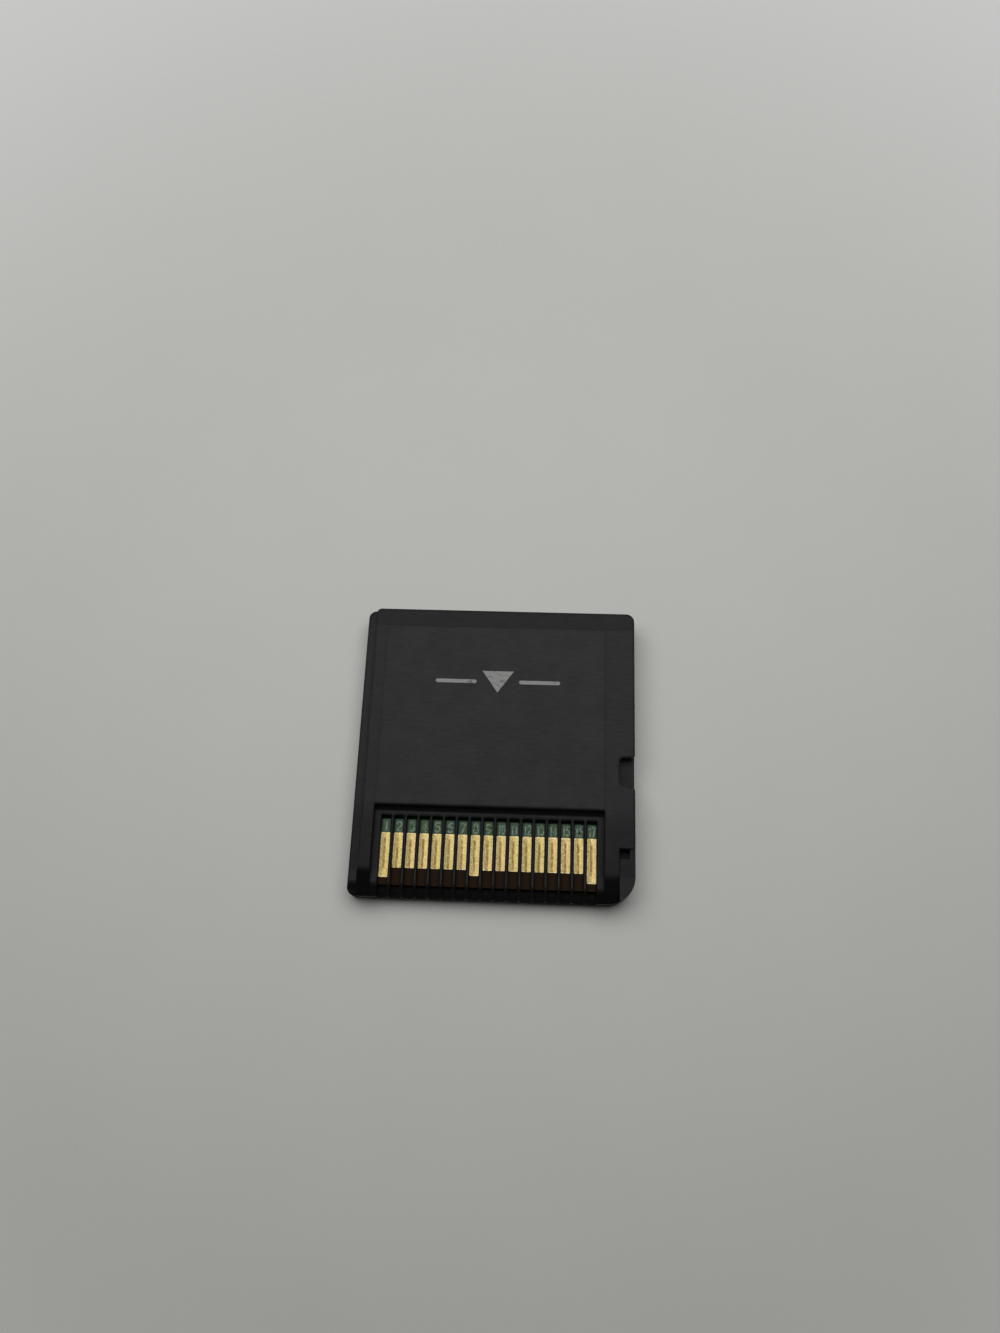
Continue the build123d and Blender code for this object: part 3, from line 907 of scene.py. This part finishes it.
# %% Digits
six = [arc((0, -0.2), (0.29, 0.3), 0, 360), arc((0.21, -0.2), (0.5, 0.7), 180, 92)]
DIGITS = {
    "0": [arc((0, 0), (0.28, 0.5), 90, 450, steps=36)],
    "1": [np.array([(-0.16, 0.32), (0.03, 0.5), (0.03, -0.5)])],
    "2": [np.concatenate([arc((0, 0.22), (0.28, 0.28), 165, -35), [(-0.29, -0.5), (0.3, -0.5)]])],
    "3": [arc((0, 0.25), (0.25, 0.25), 150, -90), arc((0, -0.25), (0.29, 0.25), 90, -150)],
    "4": [np.array([(0.13, -0.5), (0.13, 0.5), (-0.3, -0.2), (0.31, -0.2)])],
    "5": [np.array([(0.25, 0.5), (-0.22, 0.5), (-0.25, 0.03)]), arc((0, -0.19), (0.29, 0.31), 140, -150)],
    "6": six,
    "7": [np.array([(-0.3, 0.5), (0.3, 0.5), (-0.1, -0.5)])],
    "8": [arc((0, 0.26), (0.23, 0.24), -90, 270), arc((0, -0.24), (0.29, 0.26), 90, 450)],
    "9": [-path for path in six],
}
print("digits", "".join(DIGITS))

# %% [markdown]
# Each contact gets its number, from 1 at the left, on the green mask above its pad. The ink is thin, and
# rubbed in places, where a little green shows through it.

# %% Number the contacts
LEGEND_HEIGHT = 1.05
LEGEND_PEN = 0.15
LEGEND_INK = 0.015
LEGEND_RISE = 0.76
LONE_WIDTH, PAIR_WIDTH = 0.95, 0.56
DIGIT_STEP = 0.46
LEGEND_RUBBED, LEGEND_FRESH = (0.08, 0.15, 0.09), (0.30, 0.37, 0.29)
LEGEND_RUB_SIZE, LEGEND_RUB_SPAN = 0.35, (0.35, 0.62)
LEGEND_ROUGH, LEGEND_RUB_ROUGH = 0.55, 0.2
legend_y = pad_high + LEGEND_RISE


def number_bars(number, middle):
    """The bars of a number about its middle. Two digits share the room of one, so they are narrower."""
    text = str(number)
    width = LEGEND_HEIGHT * (LONE_WIDTH if len(text) == 1 else PAIR_WIDTH)
    bars = []
    for index, digit in enumerate(text):
        digit_x = middle + (index - (len(text) - 1) / 2) * DIGIT_STEP
        for path in DIGITS[digit]:
            placed = path * (width, LEGEND_HEIGHT) + (digit_x, legend_y)
            bars.append(stroke(placed, LEGEND_PEN, board_top - LEGEND_INK, board_top + LEGEND_INK))
    return bars


def legend_ink():
    """Thin pale ink, through which a little green shows where it is rubbed."""
    finish = Finish("legend_ink")
    rub = finish.noise(finish.place(), LEGEND_RUB_SIZE, detail=3)
    tone = finish.mix(finish.rise(rub, *LEGEND_RUB_SPAN), LEGEND_RUBBED, LEGEND_FRESH)
    return finish.surface(Base_Color=tone, Roughness=LEGEND_ROUGH + rub.swing(LEGEND_RUB_ROUGH))


legend = [bar for index, middle in enumerate(pad_middles) for bar in number_bars(index + 1, middle)]
pin_numbers = add_piece("pin_numbers", legend, legend_ink())

# %% [markdown]
# ## Insertion mark
#
# The contact side carries a pale printed mark on the raised panel: a solid arrowhead that points to the
# contact edge, with a bar on either side. It is pad-printed, so it is a film of ink a few hundredths of a
# millimetre thick, even at its edges and thin where it has been rubbed. The bars are strokes, and so is
# the arrowhead: a bar whose width shrinks along its path.

# %% Ink of the mark
PRINT_RUBBED, PRINT_FRESH = (0.05, 0.05, 0.05), (0.30, 0.30, 0.295)
PRINT_RUB_SIZE, PRINT_RUB_SPAN = (0.9, 0.5, 0.9), (0.22, 0.50)
PINHOLE_SIZE, PINHOLE_SHARE, PINHOLE_ROUGH = 0.13, 0.5, 0.2
PRINT_ROUGH = 0.5


def print_ink():
    """Pale grey ink with pinholes and rubbed patches that let the plastic through."""
    finish = Finish("print_ink")
    place = finish.place()
    rub = finish.noise(place, PRINT_RUB_SIZE, detail=4)
    pinhole = finish.noise(place, PINHOLE_SIZE, detail=1)
    film = finish.rise(rub + pinhole.swing(PINHOLE_SHARE), *PRINT_RUB_SPAN)
    tone = finish.mix(film, PRINT_RUBBED, PRINT_FRESH)
    return finish.surface(Base_Color=tone, Roughness=PRINT_ROUGH + pinhole.swing(PINHOLE_ROUGH))


mark_ink = print_ink()

# %% Print the mark
MARK_Y = 8.26
MARK_HALF = 7.3
MARK_PEN = 0.46
MARK_INK = 0.012
ARROW_HALF = 1.9
ARROW_HEIGHT = 2.7
ARROW_GAP = 0.9
ARROW_REACH = 0.995
BAR_STEPS = 12
ink_low, ink_high = face_top - MARK_INK, face_top + MARK_INK


def arrowhead(half, height, middle, low, high):
    """A bar carried straight down whose half-width falls from its full size to almost nothing at the tip."""
    share = np.linspace(0, ARROW_REACH, BAR_STEPS)[:, None]
    y = middle + height / 2 - height * share
    wide = half * (1 - share)
    return upright(np.hstack([wide, y]), np.hstack([-wide, y]), low, high)


def side_bar(sign):
    """A level bar on one side of the arrowhead, from the gap beside it to the end of the mark."""
    x = sign * np.linspace(ARROW_HALF + ARROW_GAP, MARK_HALF, BAR_STEPS)
    path = np.stack([x, np.full(BAR_STEPS, MARK_Y)], axis=1)
    return stroke(path, MARK_PEN, ink_low, ink_high)


arrow = arrowhead(ARROW_HALF, ARROW_HEIGHT, MARK_Y, ink_low, ink_high)
insertion_mark = add_piece("insertion_mark", [arrow, side_bar(-1), side_bar(1)], mark_ink)
